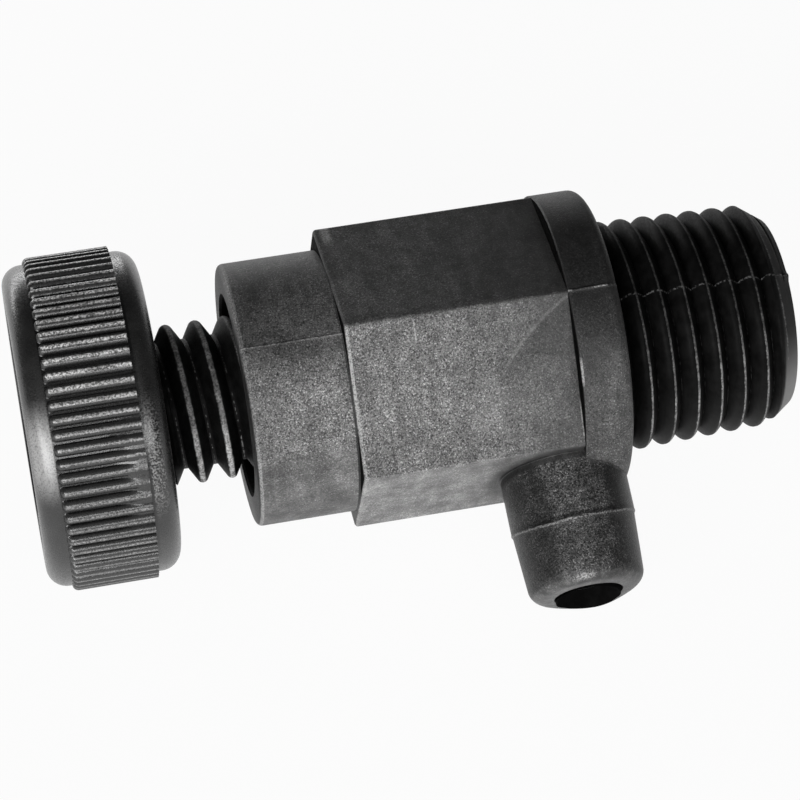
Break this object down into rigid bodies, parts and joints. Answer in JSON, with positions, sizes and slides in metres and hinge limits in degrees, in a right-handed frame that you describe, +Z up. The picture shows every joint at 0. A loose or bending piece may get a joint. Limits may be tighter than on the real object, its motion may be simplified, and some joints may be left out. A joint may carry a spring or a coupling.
{
  "type": "air release valve",
  "caption": "Manual air release valve: moulded hex body with tapered pipe-thread nipple and drain spout, closed by a seal on a threaded stem with a knurled knob.",
  "frame": {"origin": "on the valve's axis at the front face of the collar, where the pipe thread begins", "axes": "+X along the valve's axis towards the nipple's tip, knob at -X; +Z up, the valve lying on its side on its knob and spout; the spout points to -Y and 26.8 degrees below level"},
  "size_m": [0.0451, 0.0248, 0.0196],
  "materials": {
    "body_plastic": "black glass-filled moulding with a fine grey grain",
    "stem_plastic": "black moulding, slightly satin",
    "knob_plastic": "black moulding, satin rims",
    "rubber": "black elastomer",
    "acetal": "natural acetal",
    "steel": "stainless"
  },
  "bodies": {
    "body": {"valve_body": "body_plastic"},
    "plug": {"jumper": "acetal", "seal_washer": "rubber", "washer_screw": "steel"},
    "spindle": {"stem": "stem_plastic", "knob": "knob_plastic", "knob_screw": "steel", "knob_cap": "knob_plastic", "stem_o_ring": "rubber"}
  },
  "joints": [
    {"name": "stem_travel", "type": "slide", "parent": "body", "child": "plug", "axis": [1, 0, 0], "range_m": [-0.00088, 0.0035]},
    {"name": "knob_turn", "type": "hinge", "parent": "plug", "child": "spindle", "pos_m": [0, 0, 0], "axis": [1, 0, 0], "range_deg": [-181, 721]}
  ],
  "couplings": [
    {"joint": "knob_turn", "follows": "stem_travel", "rad_per_m": 3590.4}
  ]
}
